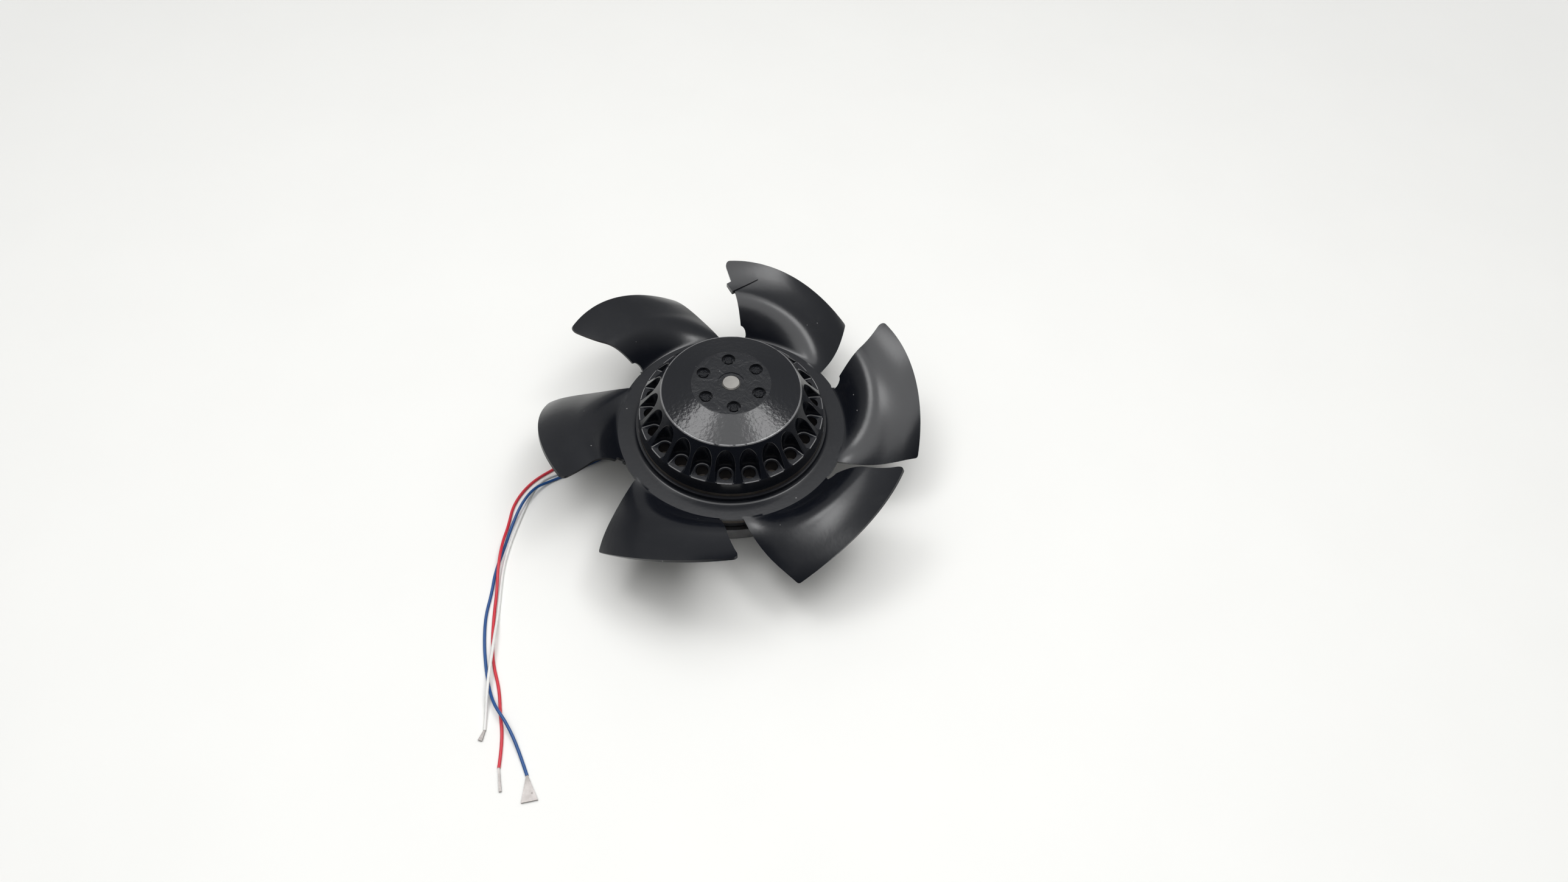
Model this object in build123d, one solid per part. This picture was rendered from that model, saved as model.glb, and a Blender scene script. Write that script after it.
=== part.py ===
from build123d import *
import os
from math import atan2, cos, degrees, hypot, pi, radians, sin, tan

# Axial cooling fan with an external-rotor motor. It stands on its mounting flange, shaft up.
# Millimetres. z = 0 is the mounting face, the motor axis is Z.
# The rotor bell turns outside the wound stator and carries the impeller.

os.makedirs("parts", exist_ok=True)

# Clearances
SEAT_GAP = 0.03            # pressed and glued cylindrical seats, per side
RUNNING_GAP = 0.05         # balls in their raceways
END_GAP = 0.6              # rotor over stator, along the axis
AIR_GAP = 0.35             # between the stator teeth and the rotor stack
COIL_CLEARANCE = 0.65      # coil heads over the screw bosses

# Shaft and its two bearings
SHAFT_RADIUS = 4.0
SHAFT_BOTTOM = 1.0
SHAFT_PROUD = 0.4          # end of the shaft above the bell's face
SHAFT_CHAMFER = 0.5
BEARING_OUTER = 11.0
BEARING_WIDTH = 7.0
BALL_RADIUS = 1.95
BALL_COUNT = 7
BALL_CIRCLE = (BEARING_OUTER + SHAFT_RADIUS) / 2
RACE_LAND = 1.3            # from the ball circle to each race's land
SHIELD_SHEET = 0.3
SHIELD_INSET = 0.2         # shields lie this far inside the races' faces
SHIELD_GAP = 0.25          # between a shield and the inner race
LOWER_BEARING_Z = 3.2
SPRING_ROOM = 1.2          # axial room of the preload spring
SPRING_SHEET = 0.4
SPRING_CRESTS = 3
SPRING_EDGE = 0.2          # its outer edge inside the bore
CIRCLIP_SHEET = 0.8
CIRCLIP_REACH = 1.7        # how far it stands out of the shaft
CIRCLIP_GROOVE = 0.3       # groove depth
CIRCLIP_PLAY = 0.1         # free height in the groove
CIRCLIP_MOUTH = 3.6
EAR_REACH = 1.0            # middle of each ear from the shaft's surface
EAR_RADIUS = 1.1
EAR_HOLE = 0.5
SPACER_HEIGHT = 0.8
SPACER_REACH = 1.9

# Mounting flange, one casting with the bearing tube
FLANGE_RADIUS = 43.3
FLANGE_PLATE = 3.5
FLANGE_RIM_TOP = 6.9
FLANGE_RIM_WALL = 3.0
FLANGE_CHAMFER = 0.6
FLANGE_EDGE = 0.4          # small chamfers on the rim and on the tube's end
TUBE_WALL = 2.5
TUBE_LIP = 1.6             # shoulder that the bearings stop on
TUBE_COVER = 0.2           # the tube ends this far above the upper bearing
TUBE_FOOT = 2.0            # sloping foot of the tube
MOUNT_CIRCLE = 31.0        # radius of the circle of mounting holes
MOUNT_COUNT = 4
MOUNT_HOLE = 1.65          # tapping radius of an M4 thread
MOUNT_DEPTH = 5.0
BOSS_RADIUS = 4.5
BOSS_FLOOR = 1.3           # metal over a blind hole
BOSS_TOP = MOUNT_DEPTH + BOSS_FLOOR
POCKET_DEPTH = 1.4         # weight-saving recess under the plate
POCKET_INNER = 17.0
POCKET_RIM = 4.8           # rest face outside the recess
POCKET_OUTER = FLANGE_RADIUS - POCKET_RIM
UNDER_RIB = 4.0
UNDER_RIB_COUNT = 4

# Lead exit through the rim
EXIT_ANGLE = 176.0
EXIT_WIDTH = 6.8
EXIT_FLOOR = 1.9
EXIT_STEP = 1.9            # the window reaches this far inside the rim
EXIT_INNER = FLANGE_RADIUS - FLANGE_RIM_WALL - EXIT_STEP
GROMMET_LIP = 0.9
GROMMET_OVERLAP = 0.8
GROMMET_DROP = 0.5         # top of the plug below the rim
SPLICE_RADIUS = 1.0
SPLICE_LENGTH = 12.0
SPLICE_GAP = 0.1

# Stator stack and windings
TOOTH_COUNT = 12
TOOTH_WIDTH = 5.0
TOOTH_TIP = 1.6
SLOT_MOUTH = 2.6
YOKE_RADIUS = 18.5
ROTOR_RADIUS = 41.4
ROTOR_WALL = 9.15          # of the ring of laminations
ROTOR_BORE = ROTOR_RADIUS - ROTOR_WALL
STATOR_RADIUS = ROTOR_BORE - AIR_GAP
STATOR_BORE = BEARING_OUTER + TUBE_WALL + SEAT_GAP
END_CAP_SHEET = 1.2
END_CAP_INSET = 0.2        # each side of its arms inside the tooth's sides
COIL_GAP = 0.15
COIL_WALL = 2.1
COIL_SIDE = TOOTH_WIDTH / 2 + COIL_GAP + COIL_WALL
COIL_SPACE = 1.1           # between a coil and the yoke, or its neighbours
COIL_SETBACK = 1.5         # between a coil and the tooth's tip
COIL_INNER = max(YOKE_RADIUS, COIL_SIDE / tan(pi / TOOTH_COUNT)) + COIL_SPACE
COIL_OUTER = STATOR_RADIUS - TOOTH_TIP - COIL_SETBACK
COIL_HEAD = 4.0
COIL_CORNER = 1.6
STACK_BOTTOM = BOSS_TOP + COIL_CLEARANCE + COIL_HEAD + COIL_GAP + END_CAP_SHEET
STACK_HEIGHT = 19.0
STACK_TOP = STACK_BOTTOM + STACK_HEIGHT
PROTECTOR_LENGTH = 9.0
PROTECTOR_WIDTH = 4.6
PROTECTOR_HEIGHT = 1.5
PROTECTOR_CORNER = 0.6

# Rotor stack and its cage
ROTOR_OVERHANG = 2.0       # the rotor stack is this much longer at each end
ROTOR_STACK_BOTTOM = STACK_BOTTOM - ROTOR_OVERHANG
ROTOR_STACK_TOP = STACK_TOP + ROTOR_OVERHANG
BAR_WIDTH = 2.0
BAR_HEIGHT = 3.4
BAR_INSET = 5.0            # middle of each bar inside the rotor's wall
BAR_CIRCLE = ROTOR_RADIUS - BAR_INSET
END_RING_STEP = 0.4        # the end ring is this much narrower than the stack
END_RING_PLAY = 0.3        # and its bore this much wider
END_RING_BORE = ROTOR_BORE + END_RING_PLAY

# Bell: pocket floors, sloping shoulder, cone and face
BAND_HEIGHT = 6.4
BAND_DRAFT = 0.9
BAND_EDGE = 0.2            # narrow bevel between the band and the shoulder
POCKET_FLOOR = ROTOR_STACK_TOP + BAND_HEIGHT
SHOULDER_RADIUS = ROTOR_RADIUS - BAND_DRAFT
SHOULDER_WIDTH = 10.0
SHOULDER_HEIGHT = 13.5
CONE_RADIUS = SHOULDER_RADIUS - SHOULDER_WIDTH
CONE_TOP = POCKET_FLOOR + SHOULDER_HEIGHT
CONE_EDGE = 0.3            # narrow bevel round the cone's edge
CONE_WIDTH = 13.1
CONE_HEIGHT = 4.4
FACE_RADIUS = CONE_RADIUS - CONE_WIDTH
FACE_TOP = CONE_TOP + CONE_HEIGHT
SHAFT_TOP = FACE_TOP + SHAFT_PROUD
BELL_WALL = 3.0
CAVITY_PLAY = 0.6
BELL_CAVITY = COIL_OUTER + CAVITY_PLAY     # radius of the hollow under the cone
CAVITY_CORNER = 2.0
CAVITY_DRAFT = 0.4
POCKET_SKIN = 1.6          # metal under the pockets' floors
SEAT_LAND = 3.4            # height of the land over the stack
HUB_RADIUS = 9.0
HUB_FOOT = 1.5
HUB_LENGTH = 13.0
HUB_LOW = FACE_TOP - HUB_LENGTH
UPPER_BEARING_Z = HUB_LOW - SPACER_HEIGHT - BEARING_WIDTH

# Pockets round the shoulder, and the casting's gate recesses on the face
POCKET_COUNT = 22
POCKET_INSET = 5.5         # middle of each pocket's round end inside the rotor's wall
POCKET_CIRCLE = ROTOR_RADIUS - POCKET_INSET
POCKET_RIB = 1.953         # metal left between two pockets, on the circle of their round ends
POCKET_RADIUS = pi * POCKET_CIRCLE / POCKET_COUNT - POCKET_RIB / 2
POCKET_FOOT = 0.8          # hollow round between a pocket's wall and its floor
POCKET_MOUTH = 0.35        # rounded edge of its mouth
POCKET_HOLE = 2.75
POCKET_PHASE = -90.0
GATE_COUNT = 6
GATE_CIRCLE = 13.2
GATE_RADIUS = 3.0
GATE_DEPTH = 1.5
GATE_STUB = 1.9
GATE_STUB_HEIGHT = 0.9
GATE_PHASE = 39.0
SHAFT_SEAT_RADIUS = 5.8    # shallow turned ring round the shaft
SHAFT_SEAT_DEPTH = 0.3

# Impeller, stamped from one sheet
SHEET = 1.2
BLADE_SHEET = 1.1          # the drawn blades are a little thinner than the ring
RING_TOP = 28.5
RING_WIDTH = 9.9           # from the rotor's wall to the ring's edge
RING_RADIUS = ROTOR_RADIUS + RING_WIDTH
COLLAR_HEIGHT = 2.9        # above the ring
COLLAR_BEND = 1.5
BLADE_COUNT = 6
BLADE_REACH = 33.7         # from the ring's edge to the tip circle
TIP_RADIUS = RING_RADIUS + BLADE_REACH
TIP_INSET = 2.8            # the outer edge comes in by this much at the leading corner
FIRST_BLADE = 53.1         # direction of the first blade's low corner
ROOT_TRAILING = -13.3      # angles from the low corner, at the ring and at the tip
ROOT_LEADING = 35.3
TIP_LEADING = 44.0
LEADING_RISE = 15.5        # quick rise of the leading edge beside the ring
LEADING_RUN = 16.5
LEADING_TIP_RISE = 7.3     # and its slower rise towards the tip
LEADING_TIP_RUN = 20.0
TRAILING_DROP = 3.5
TRAILING_RUN = 20.0
TRAILING_TIP_DROP = 1.0
TRAILING_TIP_RUN = 7.0
CAMBER = 0.85
LEADING_CORNER = 3.0
ROOT_LAP = 2.0             # the blades run this far into the ring
ROOT_NOTCH = 2.0           # relief at the leading root
NOTCH_OFFSET = 1.6         # its middle outside the ring's edge
NOTCH_CIRCLE = RING_RADIUS + NOTCH_OFFSET
ROOT_BEND = 1.2

# Balance clip on the first blade's leading edge
CLIP_LENGTH = 12.5
CLIP_WIDTH = 5.0
CLIP_SHEET = 0.7
CLIP_CLEARANCE = 0.08
CLIP_NOSE = 2.0            # how far the fold stands out past the edge
CLIP_FOLD = 1.1
CLIP_INSET = 15.0          # its middle inside the tip circle
CLIP_CIRCLE = TIP_RADIUS - CLIP_INSET
CLIP_HEADING = 36.0

# Leads and the bare strands at their ends
LEAD_DIAMETER = 1.3
LEAD_HEIGHT = 3.9                  # height of a lead's middle at the grommet,
LEAD_REST = LEAD_DIAMETER / 2      # where it lies on the table
LEAD_HUMP = 3.4                    # and where it passes over another lead
LEAD_ARC = 0.45                    # share of the shorter run that an arc may use
STRAND_DIAMETER = 0.7
STRAND_THICKNESS = 0.8

# Routes of the three leads from the grommet to the end of their insulation: x, y and height
RED_ROUTE = [
    (-44.0, 5.1, LEAD_HEIGHT), (-52.0, 5.7, LEAD_HEIGHT), (-61.0, 3.8, LEAD_REST), (-71.0, -2.5, LEAD_REST),
    (-81.5, -10.0, LEAD_REST), (-91.5, -19.0, LEAD_REST),
    (-97.0, -31.0, LEAD_REST), (-97.1, -42.5, LEAD_REST),
    (-97.5, -53.5, LEAD_HUMP), (-97.2, -64.5, LEAD_HUMP),
    (-96.0, -76.0, LEAD_REST), (-95.0, -88.0, LEAD_REST),
    (-93.5, -99.5, LEAD_REST), (-91.0, -110.5, LEAD_REST), (-86.5, -121.0, LEAD_REST),
    (-84.0, -132.0, LEAD_REST), (-81.0, -143.0, LEAD_REST), (-80.5, -154.0, LEAD_REST)]
BLUE_ROUTE = [
    (-44.2, 1.1, LEAD_HEIGHT), (-51.2, 1.6, LEAD_HEIGHT), (-59.0, -2.0, LEAD_REST), (-67.5, -7.5, LEAD_REST),
    (-76.0, -13.7, LEAD_REST), (-83.0, -17.8, LEAD_REST),
    (-88.7, -23.5, LEAD_HUMP), (-93.0, -33.0, LEAD_HUMP),
    (-95.7, -43.5, LEAD_REST), (-96.9, -55.5, LEAD_REST),
    (-98.5, -66.5, LEAD_REST), (-98.0, -77.5, LEAD_REST),
    (-98.5, -88.0, LEAD_REST), (-97.0, -99.0, LEAD_REST), (-94.5, -109.5, LEAD_REST),
    (-91.3, -119.5, LEAD_REST), (-87.0, -128.8, LEAD_HUMP), (-80.3, -136.5, LEAD_HUMP),
    (-74.5, -145.5, LEAD_REST), (-69.0, -156.5, LEAD_REST)]
WHITE_ROUTE = [
    (-44.1, 3.1, LEAD_HEIGHT), (-51.1, 3.6, LEAD_HEIGHT), (-60.0, 0.5, LEAD_REST), (-69.0, -5.7, LEAD_REST),
    (-78.0, -12.5, LEAD_REST), (-85.3, -16.0, LEAD_REST),
    (-89.6, -22.7, LEAD_REST), (-91.2, -31.5, LEAD_REST),
    (-93.2, -42.0, LEAD_REST), (-94.9, -54.0, LEAD_REST),
    (-95.4, -65.0, LEAD_REST), (-94.4, -76.5, LEAD_REST),
    (-93.3, -88.0, LEAD_REST), (-92.2, -99.5, LEAD_HUMP), (-91.6, -112.0, LEAD_HUMP),
    (-90.6, -124.0, LEAD_HUMP), (-89.8, -132.0, LEAD_REST), (-89.0, -139.0, LEAD_REST)]

# Where the bare strands end, and how wide they spread
RED_STRANDS = (-78.2, -163.4)
RED_SPREAD = 1.0
BLUE_STRANDS = (-66.3, -166.6)
BLUE_SPREAD = 6.5
WHITE_STRANDS = (-90.0, -143.3)
WHITE_SPREAD = 1.8


def turned(*points):
    """Solid of revolution about Z from a closed outline of (radius, height) points."""
    return revolve(Plane.XZ * make_face(Polyline(*points, close=True)), Axis.Z)


def ring(outer, inner, low, high):
    return turned((inner, low), (outer, low), (outer, high), (inner, high))


def disc(radius, low, high):
    return Pos(0, 0, low) * extrude(Circle(radius), high - low)


def around(count, piece, phase=0.0):
    """Copies of a piece at even steps round the axis."""
    return [Rot(0, 0, phase + 360.0 * step / count) * piece for step in range(count)]


def block(inner, outer, width, low, high):
    """A bar that points along +X, from one radius to another."""
    return Pos((inner + outer) / 2, 0, (low + high) / 2) * Box(outer - inner, width, high - low)


def save(node, shape):
    shape.label = node
    export_step(shape, f"parts/{node}.step")


def flange():
    """Cast flange: plate, rim, bearing tube with a lip for the bearings, bosses and lead exit."""
    tube_outer = BEARING_OUTER + TUBE_WALL
    tube_top = UPPER_BEARING_Z + BEARING_WIDTH + TUBE_COVER
    lip_low = LOWER_BEARING_Z + BEARING_WIDTH + SPRING_ROOM
    rim_inner = FLANGE_RADIUS - FLANGE_RIM_WALL
    body = turned(
        (BEARING_OUTER + SEAT_GAP, 0), (FLANGE_RADIUS - FLANGE_CHAMFER, 0), (FLANGE_RADIUS, FLANGE_CHAMFER),
        (FLANGE_RADIUS, FLANGE_RIM_TOP - FLANGE_EDGE), (FLANGE_RADIUS - FLANGE_EDGE, FLANGE_RIM_TOP),
        (rim_inner, FLANGE_RIM_TOP), (rim_inner - FLANGE_EDGE, FLANGE_PLATE),
        (tube_outer + TUBE_FOOT, FLANGE_PLATE), (tube_outer, FLANGE_PLATE + TUBE_FOOT),
        (tube_outer, tube_top - FLANGE_EDGE), (tube_outer - FLANGE_EDGE, tube_top),
        (BEARING_OUTER + SEAT_GAP, tube_top), (BEARING_OUTER + SEAT_GAP, UPPER_BEARING_Z),
        (BEARING_OUTER - TUBE_LIP, UPPER_BEARING_Z), (BEARING_OUTER - TUBE_LIP, lip_low),
        (BEARING_OUTER + SEAT_GAP, lip_low))
    hollow = ring(POCKET_OUTER, POCKET_INNER, 0, POCKET_DEPTH)
    for rib in around(UNDER_RIB_COUNT, block(0, FLANGE_RADIUS, UNDER_RIB, 0, POCKET_DEPTH)):
        hollow -= rib
    boss = Pos(MOUNT_CIRCLE, 0, 0) * disc(BOSS_RADIUS, 0, BOSS_TOP)
    phase = 180.0 / MOUNT_COUNT
    for piece in around(MOUNT_COUNT, boss, phase):
        hollow -= piece
    body -= hollow
    for piece in around(MOUNT_COUNT, boss, phase):
        body += piece
    hole = Pos(MOUNT_CIRCLE, 0, 0) * disc(MOUNT_HOLE, 0, MOUNT_DEPTH)
    for piece in around(MOUNT_COUNT, hole, phase):
        body -= piece
    window = block(EXIT_INNER, 2 * FLANGE_RADIUS, EXIT_WIDTH, EXIT_FLOOR, 2 * FLANGE_RIM_TOP)
    return body - Rot(0, 0, EXIT_ANGLE) * window


def grommet():
    """Rubber plug in the rim's window, with a lip outside."""
    top = FLANGE_RIM_TOP - GROMMET_DROP
    plug = block(EXIT_INNER, FLANGE_RADIUS, EXIT_WIDTH, EXIT_FLOOR, top)
    plug = plug & disc(FLANGE_RADIUS, 0, FLANGE_RIM_TOP)
    band = ring(FLANGE_RADIUS + GROMMET_LIP, FLANGE_RADIUS, EXIT_FLOOR - GROMMET_OVERLAP, top)
    lip = band & block(EXIT_INNER, 2 * FLANGE_RADIUS, EXIT_WIDTH + 2 * GROMMET_OVERLAP, 0, FLANGE_RIM_TOP)
    return Rot(0, 0, EXIT_ANGLE) * (plug + lip)


def splices():
    """Sleeves over the joints between winding wire and leads, lying on the plate."""
    sleeves = []
    for place in (-1, 0, 1):
        rod = Cylinder(SPLICE_RADIUS, SPLICE_LENGTH, rotation=(0, 90, 0))
        x = EXIT_INNER - SPLICE_LENGTH / 2
        y = place * (2 * SPLICE_RADIUS + SPLICE_GAP)
        sleeves.append(Rot(0, 0, EXIT_ANGLE) * Pos(x, y, FLANGE_PLATE + SPLICE_RADIUS) * rod)
    return Compound(sleeves)


def stator_section():
    """Plan of one stator lamination: yoke, teeth with wide tips and narrow slot mouths."""
    tooth = Pos(STATOR_RADIUS / 2, 0) * Rectangle(STATOR_RADIUS, TOOTH_WIDTH)
    slots = Circle(STATOR_RADIUS - TOOTH_TIP) - Circle(YOKE_RADIUS)
    for piece in around(TOOTH_COUNT, tooth):
        slots -= piece
    plan = Circle(STATOR_RADIUS) - Circle(STATOR_BORE) - slots
    mouth = Pos(STATOR_RADIUS, 0) * Rectangle(3 * TOOTH_TIP, SLOT_MOUTH)
    for piece in around(TOOTH_COUNT, mouth, 180.0 / TOOTH_COUNT):
        plan -= piece
    return plan


def end_cap(low):
    """Insulating star that keeps the wire off the end of the stack."""
    reach = COIL_OUTER + COIL_GAP
    arm = Pos(reach / 2, 0) * Rectangle(reach, TOOTH_WIDTH - 2 * END_CAP_INSET)
    star = Circle(YOKE_RADIUS)
    for piece in around(TOOTH_COUNT, arm):
        star += piece
    star -= Circle(STATOR_BORE)
    return Pos(0, 0, low) * extrude(star, END_CAP_SHEET)


def coils():
    """One wound coil round each tooth and its two insulating arms."""
    bottom = STACK_BOTTOM - END_CAP_SHEET - COIL_GAP
    top = STACK_TOP + END_CAP_SHEET + COIL_GAP
    coil = block(COIL_INNER, COIL_OUTER, 2 * COIL_SIDE, bottom - COIL_HEAD, top + COIL_HEAD)
    coil = fillet(coil.edges().filter_by(Axis.X), COIL_CORNER)
    coil -= block(0, 2 * COIL_OUTER, TOOTH_WIDTH + 2 * COIL_GAP, bottom, top)
    return Compound(around(TOOTH_COUNT, coil))


def protector():
    """Thermal protector lying on the upper coil heads."""
    low = STACK_TOP + END_CAP_SHEET + COIL_GAP + COIL_HEAD
    middle = (COIL_INNER + COIL_OUTER) / 2
    box = block(middle - PROTECTOR_WIDTH / 2, middle + PROTECTOR_WIDTH / 2, PROTECTOR_LENGTH,
                low, low + PROTECTOR_HEIGHT)
    box = fillet(box.edges().filter_by(Axis.Z), PROTECTOR_CORNER)
    return Rot(0, 0, 360.0 / TOOTH_COUNT) * box


def race_profile(land, away):
    """Half section of a race: a rectangle with a round groove for the balls.

    land is the radius of the side that faces the balls, away that of the other side.
    """
    half = BEARING_WIDTH / 2
    groove = BALL_RADIUS + RUNNING_GAP
    plan = Pos((land + away) / 2, 0) * Rectangle(abs(land - away), 2 * half)
    return plan - Pos(BALL_CIRCLE, 0) * Circle(groove)


def bearing(name, low):
    """Deep-groove ball bearing: two races, the balls and two shields."""
    middle = low + BEARING_WIDTH / 2
    outer_land = BALL_CIRCLE + RACE_LAND
    inner_land = BALL_CIRCLE - RACE_LAND
    outer = revolve(Plane.XZ * race_profile(outer_land, BEARING_OUTER), Axis.Z)
    inner = revolve(Plane.XZ * race_profile(inner_land, SHAFT_RADIUS + SEAT_GAP), Axis.Z)
    balls = around(BALL_COUNT, Pos(BALL_CIRCLE, 0, 0) * Sphere(BALL_RADIUS))
    save(f"{name}_bearing_outer_race", Pos(0, 0, middle) * outer)
    save(f"{name}_bearing_inner_race", Pos(0, 0, middle) * inner)
    save(f"{name}_bearing_balls", Compound([Pos(0, 0, middle) * ball for ball in balls]))
    shields = []
    for bottom in (low + SHIELD_INSET, low + BEARING_WIDTH - SHIELD_INSET - SHIELD_SHEET):
        shields.append(ring(outer_land, inner_land + SHIELD_GAP, bottom, bottom + SHIELD_SHEET))
    save(f"{name}_bearing_shields", Compound(shields))


def wave(radius, middle, swing):
    """Closed wavy line round the axis, with six points to each crest."""
    points = []
    count = 6 * SPRING_CRESTS
    for step in range(count):
        angle = 2 * pi * step / count
        height = middle + swing * cos(SPRING_CRESTS * angle)
        points.append((radius * cos(angle), radius * sin(angle), height))
    return Spline(*points, periodic=True).edge()


def preload_spring():
    """Wave washer between the lower outer race and the tube's lip."""
    low = LOWER_BEARING_Z + BEARING_WIDTH
    swing = (SPRING_ROOM - SPRING_SHEET) / 2 - SEAT_GAP
    middle = low + (SPRING_ROOM - SPRING_SHEET) / 2
    outer = wave(BEARING_OUTER - SPRING_EDGE, middle, swing)
    inner = wave(BEARING_OUTER - TUBE_LIP, middle, swing)
    strip = Face.make_surface_from_curves(outer, inner)
    return Solid.thicken(strip, SPRING_SHEET, normal_override=(0, 0, 1))


def shaft():
    groove_low = LOWER_BEARING_Z - CIRCLIP_SHEET - CIRCLIP_PLAY
    neck = SHAFT_RADIUS - CIRCLIP_GROOVE
    return turned(
        (0, SHAFT_BOTTOM), (SHAFT_RADIUS - SHAFT_CHAMFER, SHAFT_BOTTOM),
        (SHAFT_RADIUS, SHAFT_BOTTOM + SHAFT_CHAMFER), (SHAFT_RADIUS, groove_low), (neck, groove_low),
        (neck, LOWER_BEARING_Z), (SHAFT_RADIUS, LOWER_BEARING_Z),
        (SHAFT_RADIUS, SHAFT_TOP - SHAFT_CHAMFER), (SHAFT_RADIUS - SHAFT_CHAMFER, SHAFT_TOP), (0, SHAFT_TOP))


def circlip():
    """Open retaining ring in the groove under the lower inner race."""
    neck = SHAFT_RADIUS - CIRCLIP_GROOVE + SEAT_GAP
    reach = SHAFT_RADIUS + CIRCLIP_REACH
    low = LOWER_BEARING_Z - CIRCLIP_SHEET
    plan = Circle(reach) - Circle(neck) - Pos(reach, 0) * Rectangle(2 * reach, CIRCLIP_MOUTH)
    for side in (-1, 1):
        place = Pos(SHAFT_RADIUS + EAR_REACH, side * (CIRCLIP_MOUTH / 2 + EAR_RADIUS))
        plan += place * Circle(EAR_RADIUS) - Circle(neck) - place * Circle(EAR_HOLE)
    return Pos(0, 0, low) * extrude(plan, CIRCLIP_SHEET)


def spacer():
    low = UPPER_BEARING_Z + BEARING_WIDTH
    return ring(SHAFT_RADIUS + SPACER_REACH, SHAFT_RADIUS + SEAT_GAP, low, low + SPACER_HEIGHT)


def rotor_bars():
    bar = block(BAR_CIRCLE - BAR_HEIGHT / 2, BAR_CIRCLE + BAR_HEIGHT / 2, BAR_WIDTH,
                ROTOR_STACK_BOTTOM, ROTOR_STACK_TOP)
    return around(POCKET_COUNT, bar, POCKET_PHASE + 180.0 / POCKET_COUNT)


def rotor_stack():
    """Ring of laminations with a slot for each bar of the cage."""
    stack = ring(ROTOR_RADIUS, ROTOR_BORE, ROTOR_STACK_BOTTOM, ROTOR_STACK_TOP)
    for bar in rotor_bars():
        stack -= bar
    return stack


def shoulder_pocket():
    """Cutter for one pocket of the shoulder: round inner end, parallel sides, open outwards."""
    outward = Pos(POCKET_CIRCLE + SHOULDER_RADIUS / 2, 0) * Rectangle(SHOULDER_RADIUS, 2 * POCKET_RADIUS)
    plan = Pos(POCKET_CIRCLE, 0) * Circle(POCKET_RADIUS) + outward
    cutter = extrude(plan, FACE_TOP - POCKET_FLOOR)
    cutter = fillet(cutter.edges().group_by(Axis.Z)[0].filter_by(GeomType.CIRCLE), POCKET_FOOT)
    drill = extrude(Circle(POCKET_HOLE), POCKET_FLOOR - ROTOR_STACK_TOP)
    return Pos(0, 0, POCKET_FLOOR) * cutter + Pos(POCKET_CIRCLE, 0, ROTOR_STACK_TOP) * drill


def bell():
    """Cast bell: face, cone, pocketed shoulder and band, with the cage bars and their end ring."""
    ceiling = FACE_TOP - BELL_WALL
    cavity_top = CONE_TOP - BELL_WALL
    seat = SHAFT_RADIUS + SEAT_GAP
    turned_face = FACE_TOP - SHAFT_SEAT_DEPTH
    body = turned(
        (seat, HUB_LOW), (HUB_RADIUS - SHAFT_CHAMFER, HUB_LOW), (HUB_RADIUS, HUB_LOW + SHAFT_CHAMFER),
        (HUB_RADIUS + HUB_FOOT, ceiling), (FACE_RADIUS, ceiling), (BELL_CAVITY - CAVITY_CORNER, cavity_top),
        (BELL_CAVITY, cavity_top - CAVITY_CORNER), (BELL_CAVITY + CAVITY_DRAFT, POCKET_FLOOR - POCKET_SKIN),
        (ROTOR_BORE, ROTOR_STACK_TOP + SEAT_LAND), (ROTOR_BORE, ROTOR_STACK_TOP),
        (ROTOR_RADIUS, ROTOR_STACK_TOP), (SHOULDER_RADIUS + BAND_EDGE, POCKET_FLOOR - BAND_EDGE),
        (SHOULDER_RADIUS, POCKET_FLOOR),
        (CONE_RADIUS + CONE_EDGE, CONE_TOP - CONE_EDGE), (CONE_RADIUS, CONE_TOP), (FACE_RADIUS, FACE_TOP),
        (SHAFT_SEAT_RADIUS, FACE_TOP), (SHAFT_SEAT_RADIUS, turned_face), (seat, turned_face))
    for cutter in around(POCKET_COUNT, shoulder_pocket(), POCKET_PHASE):
        body -= cutter
    arches = body.edges().filter_by(GeomType.BSPLINE).filter_by_position(Axis.Z, POCKET_FLOOR, CONE_TOP)
    body = fillet(arches, POCKET_MOUTH)
    recess = disc(GATE_RADIUS, FACE_TOP - GATE_DEPTH, FACE_TOP)
    recess -= disc(GATE_STUB, FACE_TOP - GATE_DEPTH, FACE_TOP - GATE_DEPTH + GATE_STUB_HEIGHT)
    for cutter in around(GATE_COUNT, Pos(GATE_CIRCLE, 0, 0) * recess, GATE_PHASE):
        body -= cutter
    for bar in rotor_bars():
        body += bar
    ring_low = FLANGE_RIM_TOP + END_GAP
    end_ring = ring(ROTOR_RADIUS - END_RING_STEP, END_RING_BORE, ring_low, ROTOR_STACK_BOTTOM)
    return body + end_ring


def leading_angle(radius):
    return ROOT_LEADING + (TIP_LEADING - ROOT_LEADING) * (radius - RING_RADIUS) / (TIP_RADIUS - RING_RADIUS)


def trailing_angle(radius):
    return ROOT_TRAILING * (TIP_RADIUS - radius) / (TIP_RADIUS - RING_RADIUS)


def beyond_ring(radius):
    """Distance outside the ring, eased in over the bend so that the sheet has no crease."""
    reach = radius - RING_RADIUS
    if reach <= -ROOT_BEND:
        return 0.0
    if reach >= ROOT_BEND:
        return reach
    return (reach + ROOT_BEND) ** 2 / (4 * ROOT_BEND)


def quarter_sine(reach, run):
    return sin(pi / 2 * min(reach / run, 1.0))


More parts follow.
